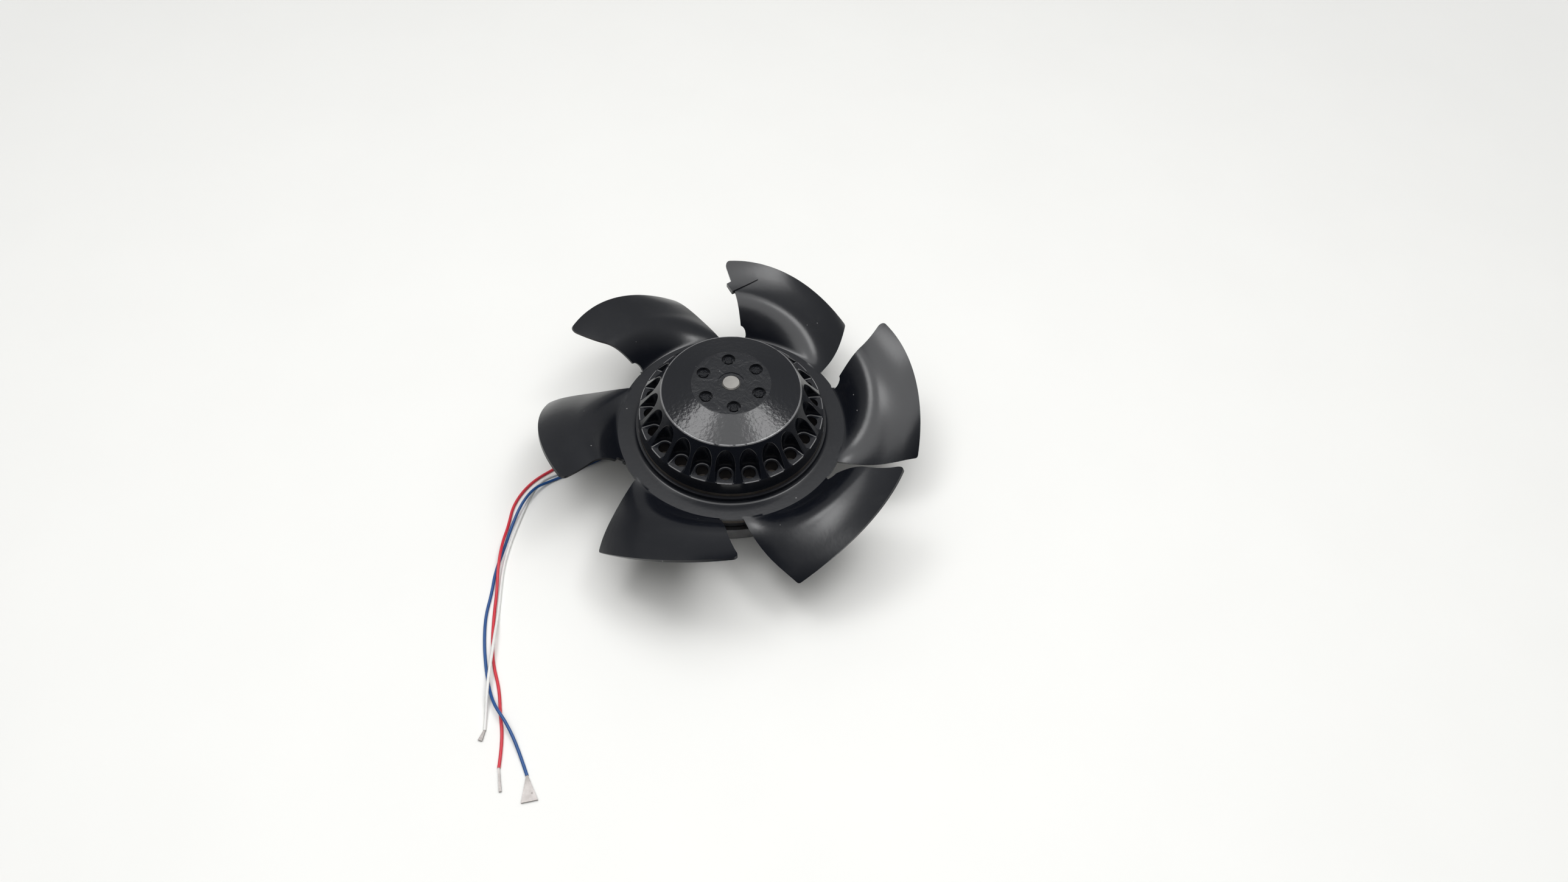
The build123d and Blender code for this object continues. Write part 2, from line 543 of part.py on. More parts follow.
def blade_height(radius, angle):
    """Height of the blade's upper face at a radius and an angle from the low corner.

    Along a circle the sheet goes from its trailing to its leading height on a parabola.
    """
    reach = beyond_ring(radius)
    span = TIP_RADIUS - RING_RADIUS
    outer = max(reach - (span - LEADING_TIP_RUN), 0.0) / LEADING_TIP_RUN
    leading = LEADING_RISE * quarter_sine(reach, LEADING_RUN) + LEADING_TIP_RISE * outer ** 2
    last = max(reach - (span - TRAILING_TIP_RUN), 0.0) / TRAILING_TIP_RUN
    trailing = -TRAILING_DROP * quarter_sine(reach, TRAILING_RUN) - TRAILING_TIP_DROP * last ** 2
    across = (angle - trailing_angle(radius)) / (leading_angle(radius) - trailing_angle(radius))
    rise = across * (1 + CAMBER * (1 - across))
    return RING_TOP - (SHEET - BLADE_SHEET) / 2 + trailing + (leading - trailing) * rise


def on_circle(radius, angle, height):
    return Vector(radius * cos(radians(angle)), radius * sin(radians(angle)), height)


def blade():
    """One blade with its low corner on +X: a curved sheet, thickened, its corner and root relieved."""
    inner = RING_RADIUS - ROOT_LAP
    rows_out = 16
    rows_across = 12
    rows = []
    for step in range(rows_out + 1):
        along = step / rows_out
        row = []
        for place in range(rows_across + 1):
            across = place / rows_across
            outer = TIP_RADIUS - TIP_INSET * across ** 2
            radius = inner + (outer - inner) * along
            angle = trailing_angle(radius) + across * (leading_angle(radius) - trailing_angle(radius))
            row.append(on_circle(radius, angle, blade_height(radius, angle)))
        rows.append(row)
    surface = Face.make_surface_from_array_of_points(rows, tol=0.01)
    sheet = Solid.thicken(surface, -BLADE_SHEET, normal_override=(0, 0, 1))
    tip = TIP_RADIUS - TIP_INSET
    corner = on_circle(tip, leading_angle(tip), blade_height(tip, leading_angle(tip)))
    edge = sheet.edges().filter_by(lambda e: e.length < 2 * BLADE_SHEET).sort_by(
        lambda e: (e.center() - corner).length)[0]
    sheet = sheet.fillet(LEADING_CORNER, [edge])
    notch = Rot(0, 0, leading_angle(NOTCH_CIRCLE)) * Pos(NOTCH_CIRCLE, 0, 0) * disc(ROOT_NOTCH, 0, FACE_TOP)
    return Part([sheet]) - notch, notch


def impeller():
    """Ring with a drawn collar pressed on the rotor, and six blades of the same sheet."""
    low = RING_TOP - SHEET
    wall = ROTOR_RADIUS + SEAT_GAP
    section = make_face(Polyline(
        (wall, low), (RING_RADIUS, low), (RING_RADIUS, RING_TOP), (wall + SHEET, RING_TOP),
        (wall + SHEET, RING_TOP + COLLAR_HEIGHT), (wall, RING_TOP + COLLAR_HEIGHT), close=True))
    inside = section.vertices().sort_by(lambda v: hypot(v.X - wall - SHEET, v.Y - RING_TOP))[0]
    section = fillet(inside, COLLAR_BEND)
    outside = section.vertices().sort_by(lambda v: hypot(v.X - wall, v.Y - low))[0]
    section = fillet(outside, COLLAR_BEND + SHEET)
    body = revolve(Plane.XZ * section, Axis.Z)
    one, notch = blade()
    for piece in around(BLADE_COUNT, notch, FIRST_BLADE):
        body -= piece
    for piece in around(BLADE_COUNT, one, FIRST_BLADE):
        body += piece
    return body


def clip_patch(start, end, width, lift):
    """Piece of the blade's surface under the balance clip, lifted by a little, as six by three cells."""
    edge = on_circle(CLIP_CIRCLE, FIRST_BLADE + leading_angle(CLIP_CIRCLE), 0)
    along = Vector(cos(radians(CLIP_HEADING)), sin(radians(CLIP_HEADING)), 0)
    across = Vector(-along.Y, along.X, 0)
    rows = []
    for step in range(7):
        row = []
        for place in range(4):
            point = edge + along * (start + (end - start) * step / 6) + across * (width * (place / 3 - 0.5))
            angle = degrees(atan2(point.Y, point.X)) - FIRST_BLADE
            height = blade_height(hypot(point.X, point.Y), angle)
            row.append(Vector(point.X, point.Y, height + lift))
        rows.append(row)
    return Face.make_surface_from_array_of_points(rows, tol=0.01)


def balance_clip():
    """Folded strip pushed over the blade's leading edge: a slab that follows the sheet, slotted for it."""
    over = CLIP_SHEET + CLIP_CLEARANCE
    outside = clip_patch(-CLIP_NOSE, CLIP_LENGTH, CLIP_WIDTH, over)
    inside = clip_patch(CLIP_FOLD - CLIP_NOSE, 2 * CLIP_LENGTH, 2 * CLIP_WIDTH, CLIP_CLEARANCE)
    slab = Solid.thicken(outside, -(BLADE_SHEET + 2 * over), normal_override=(0, 0, 1))
    slot = Solid.thicken(inside, -(BLADE_SHEET + 2 * CLIP_CLEARANCE), normal_override=(0, 0, 1))
    return Part([slab]) - Part([slot])


def lead(colour, route):
    """Insulated wire: a round section along straight runs joined by tangent arcs."""
    corners = [Vector(*point) for point in route]
    runs = [after - before for before, after in zip(corners, corners[1:])]
    radii = []
    for first, second in zip(runs, runs[1:]):
        half_turn = radians(first.get_angle(second)) / 2
        radii.append(LEAD_ARC * min(first.length, second.length) / tan(half_turn))
    path = FilletPolyline(*route, radius=radii)
    section = Plane(origin=path @ 0, z_dir=path % 0) * Circle(LEAD_DIAMETER / 2)
    tube = sweep(section, path=path)
    expected = pi * LEAD_DIAMETER ** 2 / 4 * path.length
    print(colour, "lead", round(path.length, 1), "mm, arcs from", round(min(radii), 1), "to",
          round(max(radii), 1), "mm, volume", round(tube.volume, 2), "expected", round(expected, 2))
    save(f"lead_{colour}", tube)


def strands(colour, route, end, spread):
    """Flat fan of bare strands that lies where the insulation ends."""
    start = Vector(route[-1][0], route[-1][1])
    last_run = start - Vector(route[-2][0], route[-2][1])
    along = Vector(*end) - start
    narrow = Vector(-last_run.Y, last_run.X).normalized() * (STRAND_DIAMETER / 2)
    wide = Vector(-along.Y, along.X).normalized() * (spread / 2)
    corners = (start - narrow, start + along - wide, start + along + wide, start + narrow)
    outline = Polyline(*corners, close=True)
    low = LEAD_REST - STRAND_THICKNESS / 2
    save(f"lead_{colour}_strands", Pos(0, 0, low) * extrude(make_face(outline), STRAND_THICKNESS))


save("stator_flange", flange())
save("lead_grommet", grommet())
save("splice_sleeves", splices())
save("stator_laminations", Pos(0, 0, STACK_BOTTOM) * extrude(stator_section(), STACK_TOP - STACK_BOTTOM))
save("lower_end_cap", end_cap(STACK_BOTTOM - END_CAP_SHEET))
save("upper_end_cap", end_cap(STACK_TOP))
save("stator_coils", coils())
save("thermal_protector", protector())
bearing("lower", LOWER_BEARING_Z)
bearing("upper", UPPER_BEARING_Z)
save("preload_spring", preload_spring())
save("shaft", shaft())
save("shaft_circlip", circlip())
save("shaft_spacer", spacer())
save("rotor_laminations", rotor_stack())
save("rotor_bell", bell())
save("impeller", impeller())
save("balance_clip", balance_clip())
lead("red", RED_ROUTE)
lead("blue", BLUE_ROUTE)
lead("white", WHITE_ROUTE)
strands("red", RED_ROUTE, RED_STRANDS, RED_SPREAD)
strands("blue", BLUE_ROUTE, BLUE_STRANDS, BLUE_SPREAD)
strands("white", WHITE_ROUTE, WHITE_STRANDS, WHITE_SPREAD)
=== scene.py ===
# %% [markdown]
# # A motor cooling fan, dressed
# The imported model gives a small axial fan: an external-rotor motor that stands on its mounting flange,
# an impeller pressed from one steel sheet, and three free leads. Its solids already have the right size
# and place. This file adds what makes them look real: the drawn sheet with its thin edges, the thick
# glossy paint, the rough casting, the wire ends and the light. Everything is in metres, with +Z up.

# %% Load the frame
import math

import bmesh
import bpy
import numpy as np
from mathutils import Matrix, Vector


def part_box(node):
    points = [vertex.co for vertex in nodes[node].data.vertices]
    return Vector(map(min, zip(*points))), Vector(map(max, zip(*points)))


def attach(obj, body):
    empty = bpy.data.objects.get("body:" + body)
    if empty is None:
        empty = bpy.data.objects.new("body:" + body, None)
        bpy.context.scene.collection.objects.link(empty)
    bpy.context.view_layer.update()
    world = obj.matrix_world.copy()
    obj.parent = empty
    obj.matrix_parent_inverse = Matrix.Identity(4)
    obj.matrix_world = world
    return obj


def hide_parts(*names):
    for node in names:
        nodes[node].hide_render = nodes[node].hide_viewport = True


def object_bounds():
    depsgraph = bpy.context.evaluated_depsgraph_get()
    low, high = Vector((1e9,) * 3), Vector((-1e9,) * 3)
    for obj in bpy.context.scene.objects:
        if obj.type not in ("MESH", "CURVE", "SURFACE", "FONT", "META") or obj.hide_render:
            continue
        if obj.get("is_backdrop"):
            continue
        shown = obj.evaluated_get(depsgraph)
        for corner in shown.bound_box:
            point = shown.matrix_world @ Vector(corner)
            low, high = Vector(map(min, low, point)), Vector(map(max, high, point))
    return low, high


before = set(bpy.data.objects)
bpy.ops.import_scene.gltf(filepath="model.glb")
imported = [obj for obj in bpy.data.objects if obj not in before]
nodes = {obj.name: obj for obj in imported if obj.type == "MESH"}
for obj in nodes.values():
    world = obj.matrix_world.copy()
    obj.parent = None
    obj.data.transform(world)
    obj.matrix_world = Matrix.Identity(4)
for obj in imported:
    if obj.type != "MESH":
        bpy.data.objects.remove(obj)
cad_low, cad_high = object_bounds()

MM = 0.001
print("nodes", len(nodes), "box in mm", [round((b - a) / MM, 1) for a, b in zip(cad_low, cad_high)])

# %% [markdown]
# ## The camera
# The photograph was taken from in front and above. Six blade corners and the motor's circles fix where
# the camera stood, so it is placed by that one solution and not by eye: a point, a height angle and a
# small roll. A camera looks along its own -Z, so its matrix holds its right, its up and its back.

# %% The camera
CAMERA_PLACE = Vector((24.09, -321.10, 447.05)) * MM
CAMERA_HEIGHT_ANGLE = math.radians(53.206)
CAMERA_ROLL = math.radians(3.033)
FOCAL_LENGTH = 26.87
SENSOR_WIDTH = 36.0


def camera_axes(height_angle, roll):
    """Right, up and back of a camera that looks along +Y and down by height_angle, then turned by roll."""
    right = Vector((1, 0, 0))
    up = Vector((0, math.sin(height_angle), math.cos(height_angle)))
    back = Vector((0, -math.cos(height_angle), math.sin(height_angle)))
    turned_right = right * math.cos(roll) + up * math.sin(roll)
    turned_up = up * math.cos(roll) - right * math.sin(roll)
    return turned_right, turned_up, back


camera_data = bpy.data.cameras.new("photo_camera")
camera_data.sensor_width = SENSOR_WIDTH
camera_data.lens = FOCAL_LENGTH
camera_data.clip_start = 0.01
camera_data.clip_end = 20.0
camera = bpy.data.objects.new("photo_camera", camera_data)
bpy.context.scene.collection.objects.link(camera)
camera_turn = Matrix(camera_axes(CAMERA_HEIGHT_ANGLE, CAMERA_ROLL)).transposed()
camera.matrix_world = Matrix.Translation(CAMERA_PLACE) @ camera_turn.to_4x4()
bpy.context.scene.camera = camera

# %% [markdown]
# ## The leads
# Three stranded wires with plastic insulation come out of a grommet in the flange's rim, drop to the
# table and wander forwards, crossing each other a few times. A lead is a curve with a round bevel: a
# smooth spline whose control points are the corners of the solid's route. The order has to be set after
# the points are there, or the spline stays a chain of straight runs.

# %% Routes of the leads, in millimetres
LEAD_DIAMETER = 1.3
EXIT = 3.9                 # height of a lead's middle at the grommet,
REST = LEAD_DIAMETER / 2   # where it lies on the table
HUMP = 3.4                 # and where it passes over another lead
LEAD_ROUTES = {
    "red": [
        (-44.0, 5.1, EXIT), (-52.0, 5.7, EXIT), (-61.0, 3.8, REST), (-71.0, -2.5, REST), (-81.5, -10.0, REST),
        (-91.5, -19.0, REST), (-97.0, -31.0, REST), (-97.1, -42.5, REST), (-97.5, -53.5, HUMP),
        (-97.2, -64.5, HUMP), (-96.0, -76.0, REST), (-95.0, -88.0, REST), (-93.5, -99.5, REST),
        (-91.0, -110.5, REST), (-86.5, -121.0, REST), (-84.0, -132.0, REST), (-81.0, -143.0, REST),
        (-80.5, -154.0, REST)],
    "blue": [
        (-44.2, 1.1, EXIT), (-51.2, 1.6, EXIT), (-59.0, -2.0, REST), (-67.5, -7.5, REST), (-76.0, -13.7, REST),
        (-83.0, -17.8, REST), (-88.7, -23.5, HUMP), (-93.0, -33.0, HUMP), (-95.7, -43.5, REST),
        (-96.9, -55.5, REST), (-98.5, -66.5, REST), (-98.0, -77.5, REST), (-98.5, -88.0, REST),
        (-97.0, -99.0, REST), (-94.5, -109.5, REST), (-91.3, -119.5, REST), (-87.0, -128.8, HUMP),
        (-80.3, -136.5, HUMP), (-74.5, -145.5, REST), (-69.0, -156.5, REST)],
    "white": [
        (-44.1, 3.1, EXIT), (-51.1, 3.6, EXIT), (-60.0, 0.5, REST), (-69.0, -5.7, REST), (-78.0, -12.5, REST),
        (-85.3, -16.0, REST), (-89.6, -22.7, REST), (-91.2, -31.5, REST), (-93.2, -42.0, REST),
        (-94.9, -54.0, REST), (-95.4, -65.0, REST), (-94.4, -76.5, REST), (-93.3, -88.0, REST),
        (-92.2, -99.5, HUMP), (-91.6, -112.0, HUMP), (-90.6, -124.0, HUMP), (-89.8, -132.0, REST),
        (-89.0, -139.0, REST)],
}


def lead_curve(name, route):
    """A round tube along one open quadratic spline, which starts and ends at the route's own ends.

    The bevel is 1 m times each point's radius, so the points carry the lead's real radius.
    """
    curve = bpy.data.curves.new(name, "CURVE")
    curve.dimensions = "3D"
    curve.bevel_depth = 1.0
    curve.bevel_resolution = 5
    curve.resolution_u = 10
    curve.use_fill_caps = True
    spline = curve.splines.new("NURBS")
    spline.points.add(len(route) - 1)
    places = np.column_stack([np.array(route) * MM, np.ones(len(route))])
    spline.points.foreach_set("co", places.ravel())
    spline.points.foreach_set("radius", np.full(len(route), LEAD_DIAMETER / 2 * MM))
    spline.order_u = 3
    spline.use_endpoint_u = True
    piece = bpy.data.objects.new(name, curve)
    bpy.context.scene.collection.objects.link(piece)
    return piece


leads = {}
for colour, route in LEAD_ROUTES.items():
    leads[colour] = lead_curve(f"insulation_{colour}", route)
    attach(leads[colour], "stator")
    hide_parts(f"lead_{colour}")
print("leads", sorted(leads))

# %% [markdown]
# ## Surfaces from arrays
# Most new pieces are grids: an array of points with rows and columns. One function turns such an array
# into faces, and another puts several grids into one mesh and closes the seams between them, because
# points that lie in the same place are merged.

# %% Grids to meshes
def grid_faces(rows, columns, start=0, closed=False):
    """Quads of a grid of points. They face the side that row direction cross column direction gives."""
    last = columns if closed else columns - 1
    row = np.arange(rows - 1)[:, None] * columns
    here = np.arange(last)[None, :]
    after = (here + 1) % columns
    quads = np.stack([row + here, row + columns + here, row + columns + after, row + after], axis=-1)
    return quads.reshape(-1, 4) + start


def mesh_piece(name, grids, closed=False, merge=0.002):
    """One object from several grids, each an array of rows, columns and three coordinates in millimetres."""
    points, faces, start = [], [], 0
    for grid in grids:
        rows, columns = grid.shape[:2]
        points.append(grid.reshape(-1, 3))
        faces.append(grid_faces(rows, columns, start, closed))
        start += rows * columns
    mesh = bpy.data.meshes.new(name)
    mesh.from_pydata(np.concatenate(points) * MM, [], np.concatenate(faces).tolist())
    work = bmesh.new()
    work.from_mesh(mesh)
    bmesh.ops.remove_doubles(work, verts=work.verts, dist=merge * MM)
    bmesh.ops.dissolve_degenerate(work, dist=merge * MM / 4, edges=work.edges)
    work.to_mesh(mesh)
    work.free()
    mesh.polygons.foreach_set("use_smooth", np.ones(len(mesh.polygons), bool))
    piece = bpy.data.objects.new(name, mesh)
    bpy.context.scene.collection.objects.link(piece)
    return piece


def add_modifier(piece, name, kind, **settings):
    modifier = piece.modifiers.new(name, kind)
    for key, value in settings.items():
        setattr(modifier, key, value)
    return modifier


def polar(radius, angle, height):
    """Points at a radius, an angle in degrees and a height, all arrays that fit each other."""
    radius, angle, height = np.broadcast_arrays(radius, np.radians(angle), height)
    return np.stack([radius * np.cos(angle), radius * np.sin(angle), height], axis=-1)


# %% [markdown]
# ## The impeller
# The impeller is one pressed sheet: a flat ring, a short collar drawn up where it grips the rotor, and
# six blades that rise from the ring at their leading edge and dip below it at their trailing edge. A
# solid from the frame has its shape, but a sheet needs thin rolled edges and an even skin. So the upper
# face is worked out again as a height over radius and angle, and Solidify gives it its thickness.

# %% Shape of the sheet, in millimetres and degrees
SHEET = 1.15
RING_TOP = 28.5
RING_RADIUS = 51.3
ROTOR_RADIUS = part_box("rotor_laminations")[1].x / MM
COLLAR_INNER = ROTOR_RADIUS + 0.05
COLLAR_OUTER = COLLAR_INNER + SHEET
COLLAR_TOP = RING_TOP + 2.9
COLLAR_BEND = 1.5
BLADES = 6
FIRST_BLADE = 53.1
TIP_RADIUS = 85.0
TIP_INSET = 2.8
ROOT_TRAILING = -13.3
ROOT_LEADING = 35.3
TIP_LEADING = 44.0
LEADING_CORNER = 3.0
TRAILING_CORNER = 0.9
ROOT_BEND = 1.2
NOTCH_RADIUS = 2.0
NOTCH_CIRCLE = RING_RADIUS + 1.6
SPAN = TIP_RADIUS - RING_RADIUS


def leading_angle(radius):
    """Even change from the root's angle to the tip's."""
    return ROOT_LEADING + (TIP_LEADING - ROOT_LEADING) * (radius - RING_RADIUS) / SPAN


def trailing_angle(radius):
    """Even change from the root's angle to none at the tip."""
    return ROOT_TRAILING * (TIP_RADIUS - radius) / SPAN


def quarter_sine(reach, run):
    """Rises as a sine from 0 to 1 over the run and stays there."""
    return np.sin(np.pi / 2 * np.clip(reach / run, 0, 1))


def blade_height(radius, angle):
    """Height of the sheet's upper face: between the trailing and the leading edge it follows a parabola.

    Each edge's own height leaves the ring as a quarter of a sine and bends once more near the tip.
    """
    reach = radius - RING_RADIUS
    eased = np.where(reach < ROOT_BEND, np.clip(reach + ROOT_BEND, 0, None) ** 2 / (4 * ROOT_BEND), reach)
    leading = 15.5 * quarter_sine(eased, 16.5) + 7.3 * np.clip((eased - SPAN + 20.0) / 20.0, 0, None) ** 2
    trailing = -3.5 * quarter_sine(eased, 20.0) - np.clip((eased - SPAN + 7.0) / 7.0, 0, None) ** 2
    across = (angle - trailing_angle(radius)) / (leading_angle(radius) - trailing_angle(radius))
    return RING_TOP + trailing + (leading - trailing) * across * (1 + 0.85 * (1 - across))


def rounded_off(distance, corner):
    """How far a round corner of that radius lies inside the square one, at a distance from its side."""
    short = np.clip(corner - distance, 0, None)
    return corner - np.sqrt(corner ** 2 - short ** 2)


# %% The sheet's upper face as two grids for each blade
def sheet_profile():
    """Radius and height along the collar and the ring, from the collar's top outwards."""
    bend = np.radians(np.linspace(0, 90, 9))
    radius = np.concatenate([
        np.full(4, COLLAR_OUTER), COLLAR_OUTER + COLLAR_BEND * (1 - np.cos(bend)),
        np.linspace(COLLAR_OUTER + COLLAR_BEND, NOTCH_CIRCLE - NOTCH_RADIUS, 8)[1:]])
    height = np.concatenate([
        np.linspace(COLLAR_TOP, RING_TOP + COLLAR_BEND, 5)[:-1],
        RING_TOP + COLLAR_BEND * (1 - np.sin(bend)), np.full(7, RING_TOP)])
    return radius, height


def places_across():
    """Places across a blade from its trailing to its leading edge, closer together at both corners."""
    length = TIP_RADIUS * math.radians(TIP_LEADING)
    near_trailing = TRAILING_CORNER * (1 - np.cos(np.radians(np.linspace(0, 90, 6)))) / length
    near_leading = 1 - LEADING_CORNER * (1 - np.cos(np.radians(np.linspace(90, 0, 10)))) / length
    return np.concatenate([near_trailing, np.linspace(near_trailing[-1], near_leading[0], 42)[1:-1], near_leading])


ring_radius, ring_height = sheet_profile()
across = places_across()
notch_radius = NOTCH_CIRCLE + NOTCH_RADIUS * np.sin(np.radians(np.linspace(-90, 90, 17)))[1:]
notch_radius[2] = RING_RADIUS      # one row lies on the ring's edge
inner_radius = np.concatenate([ring_radius, notch_radius])
tip_length = TIP_RADIUS * math.radians(TIP_LEADING)
tip_radius = (TIP_RADIUS - TIP_INSET * across ** 2 - rounded_off((1 - across) * tip_length, LEADING_CORNER)
              - rounded_off(across * tip_length, TRAILING_CORNER))
outwards = np.sin(np.radians(np.linspace(0, 90, 62)))[1:]
blade_radius = np.concatenate([
    np.repeat(inner_radius[:, None], len(across), axis=1),
    inner_radius[-1] + (tip_radius[None, :] - inner_radius[-1]) * outwards[:, None]])
root_radius = np.maximum(blade_radius, RING_RADIUS)
bite = np.degrees(np.sqrt(np.clip(NOTCH_RADIUS ** 2 - (blade_radius - NOTCH_CIRCLE) ** 2, 0, None)) / blade_radius)
first = trailing_angle(root_radius)
blade_angle = first + (leading_angle(root_radius) - bite - first) * across
blade_z = blade_height(blade_radius, blade_angle)
blade_z[:len(ring_height)] = ring_height[:, None]

gap_rows = len(ring_radius) + 3
gap_radius = inner_radius[:gap_rows, None]
gap_start = leading_angle(RING_RADIUS) + bite[:gap_rows, :1]
gap_angle = gap_start + (360.0 / BLADES + ROOT_TRAILING - gap_start) * np.linspace(0, 1, 16)
gap_z = np.repeat(blade_z[:gap_rows, :1], 16, axis=1)
gap_z[-3:] = RING_TOP

sheet_grids = []
for turn in range(BLADES):
    start = FIRST_BLADE + 360.0 / BLADES * turn
    sheet_grids.append(polar(blade_radius, start + blade_angle, blade_z))
    sheet_grids.append(polar(gap_radius, start + gap_angle, gap_z))
impeller = mesh_piece("impeller_sheet", sheet_grids)
add_modifier(impeller, "Thickness", "SOLIDIFY", thickness=SHEET * MM, offset=-1.0, use_even_offset=True)
add_modifier(impeller, "Rolled edges", "BEVEL", width=0.22 * MM, segments=3, limit_method="ANGLE",
             angle_limit=math.radians(50), harden_normals=True)
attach(impeller, "rotor")
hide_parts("impeller")
print("impeller faces", len(impeller.data.polygons))

# %% [markdown]
# ## Shader maths as Python
# A material is a graph of nodes, and long sums of Math nodes are hard to read. One small class stands
# for a socket and takes the usual operators, so a mask can be written as 1 - rust * 0.5. One method
# makes every other node from its type, its settings and what goes into its sockets.

# %% A socket that can be added and multiplied
class Value:
    """An output socket. Each operator adds one Math node."""

    def __init__(self, material, socket):
        self.material = material
        self.socket = socket

    def math(self, operation, other=None, third=None):
        return self.material.node("ShaderNodeMath", {"operation": operation}, self, other, third)

    def __add__(self, other):
        return self.math("ADD", other)

    def __radd__(self, other):
        return self.math("ADD", other)

    def __sub__(self, other):
        return self.math("SUBTRACT", other)

    def __rsub__(self, other):
        return self.material.node("ShaderNodeMath", {"operation": "SUBTRACT"}, other, self)

    def __mul__(self, other):
        return self.math("MULTIPLY", other)

    def __rmul__(self, other):
        return self.math("MULTIPLY", other)

    def __truediv__(self, other):
        return self.math("DIVIDE", other)

    def __pow__(self, other):
        return self.math("POWER", other)

    def above(self, edge, soft):
        """0 below the edge and 1 above it, over a soft step."""
        return self.material.node("ShaderNodeMapRange", {"interpolation_type": "SMOOTHSTEP"},
                                  self, edge - soft, edge + soft, 0.0, 1.0)

    def below(self, edge, soft):
        return 1 - self.above(edge, soft)


class Material:
    """A material with one Principled shader, and the few kinds of node that these finishes need."""

    def __init__(self, name, **constants):
        self.data = bpy.data.materials.new(name)
        self.data.use_nodes = True
        self.tree = self.data.node_tree
        self.shader = self.tree.nodes["Principled BSDF"]
        for key, value in constants.items():
            self.shader.inputs[key.replace("_", " ")].default_value = value
        coordinates = self.tree.nodes.new("ShaderNodeTexCoord")
        self.place = Value(self, coordinates.outputs["Object"])

    def node(self, kind, settings, *inputs, output=0, **named):
        made = self.tree.nodes.new(kind)
        for key, value in settings.items():
            setattr(made, key, value)
        pairs = list(zip(made.inputs, inputs)) + [(made.inputs[key], value) for key, value in named.items()]
        for socket, value in pairs:
            if isinstance(value, Value):
                self.tree.links.new(value.socket, socket)
            elif value is not None:
                socket.default_value = value
        return Value(self, made.outputs[output])

    def noise(self, size, detail=3.0, rough=0.5, where=None):
        """Soft noise from 0 to 1 whose lumps are about size millimetres wide."""
        return self.node("ShaderNodeTexNoise", {}, Vector=where or self.place, Scale=1 / (size * MM),
                         Detail=detail, Roughness=rough)

    def specks(self, spacing, radius, share):
        """Round specks, one in each cell of about spacing millimetres, kept in a share of the cells."""
        scale = 1 / (spacing * MM)
        near = self.node("ShaderNodeTexVoronoi", {}, Vector=self.place, Scale=scale)
        pick = self.node("ShaderNodeTexVoronoi", {}, Vector=self.place, Scale=scale, output="Color")
        chance = self.node("ShaderNodeSeparateColor", {}, pick)
        return near.below(radius / spacing, radius / spacing * 0.3) * chance.below(share, 0.01)

    def axes(self):
        """X, Y and Z of the object coordinates in millimetres."""
        split = self.node("ShaderNodeSeparateXYZ", {}, self.place)
        tree_node = split.socket.node
        return [Value(self, tree_node.outputs[k]) * (1 / MM) for k in range(3)]

    def circle(self):
        """Distance from the motor's axis and height, in millimetres."""
        x, y, z = self.axes()
        return (x * x + y * y) ** 0.5, z

    def mix(self, share, first, second):
        """A colour between two colours."""
        made = self.tree.nodes.new("ShaderNodeMix")
        made.data_type = "RGBA"
        for socket, value in ((made.inputs[0], share), (made.inputs[6], first), (made.inputs[7], second)):
            if isinstance(value, Value):
                self.tree.links.new(value.socket, socket)
            else:
                socket.default_value = value if socket == made.inputs[0] else (*value, 1.0)
        return Value(self, made.outputs[2])

    def bump(self, *layers):
        """Bumps from pairs of a height from 0 to 1 and its depth in millimetres."""
        normal = None
        for height, depth in layers:
            normal = self.node("ShaderNodeBump", {}, Height=height, Distance=depth * MM, Strength=1.0, Normal=normal)
        self.feed("Normal", normal)

    def feed(self, name, value):
        self.tree.links.new(value.socket, self.shader.inputs[name])


def dress(piece, material):
    """The piece's only material."""
    piece.data.materials.clear()
    piece.data.materials.append(material.data)


# %% [markdown]
# ## Black paint on the sheet
# The blades are sprayed black: a satin coat that follows the steel, with a faint orange peel, and fine
# pale dust that settled on it. A black surface shows little but its reflections, so what matters is its
# roughness and how that changes from place to place. Dust is rough and pale and covers the sheen.

# %% Satin black paint
def satin_black():
    paint = Material("satin_black_paint", Specular_IOR_Level=0.5)
    cloud = paint.noise(22.0, 3.0)
    grain = paint.noise(0.5, 2.0)
    dust = paint.specks(6.0, 0.24, 0.4)
    film = paint.noise(9.0, 4.0, 0.6).above(0.58, 0.1) * paint.noise(0.9, 3.0).above(0.52, 0.12)
    base = paint.mix(film * 0.3, (0.004, 0.005, 0.008), (0.018, 0.019, 0.022))
    paint.feed("Base Color", paint.mix(dust * 0.75, base, (0.35, 0.35, 0.34)))
    paint.feed("Roughness", 0.19 + cloud * 0.08 + grain * 0.04 + dust * 0.3)
    paint.bump((paint.noise(1.8, 2.0), 0.02), (grain, 0.004))
    return paint


satin = satin_black()
dress(impeller, satin)
dress(nodes["balance_clip"], satin)
print("paint nodes", len(satin.tree.nodes))

# %% [markdown]
# ## Thick gloss on the casting
# The bell is cast aluminium under a thicker, glossier coat. On the cone the paint lies in coarse orange
# peel that breaks up the light, and on the flat face it follows the casting's flow marks. Along the
# cone's rim and the pockets' rims a pale metal colour is painted in: partly paint worn through, partly a
# painted highlight that stands in for the glint of rounded rims. Those rims are circles, so a mask on the
# distance from the axis and on the height finds them, and in the pockets a wave on the angle does.

# %% Gloss black paint over a casting
CONE_RIM = (30.5, 53.2)
FACE_RIM = (17.4, 57.6)
BAND_RIM = (40.6, 39.6)
POCKETS = 22
GATES = 6
GATE_CIRCLE = 13.2
GATE_PHASE = math.radians(39.0)
GATE_STUB = 1.9


def on_rim(radius, height, rim, width, soft):
    """1 on a circle of a given radius and height, and 0 away from it."""
    aside = (radius - rim[0]).math("ABSOLUTE").below(width, soft)
    return aside * (height - rim[1]).math("ABSOLUTE").below(width, soft)


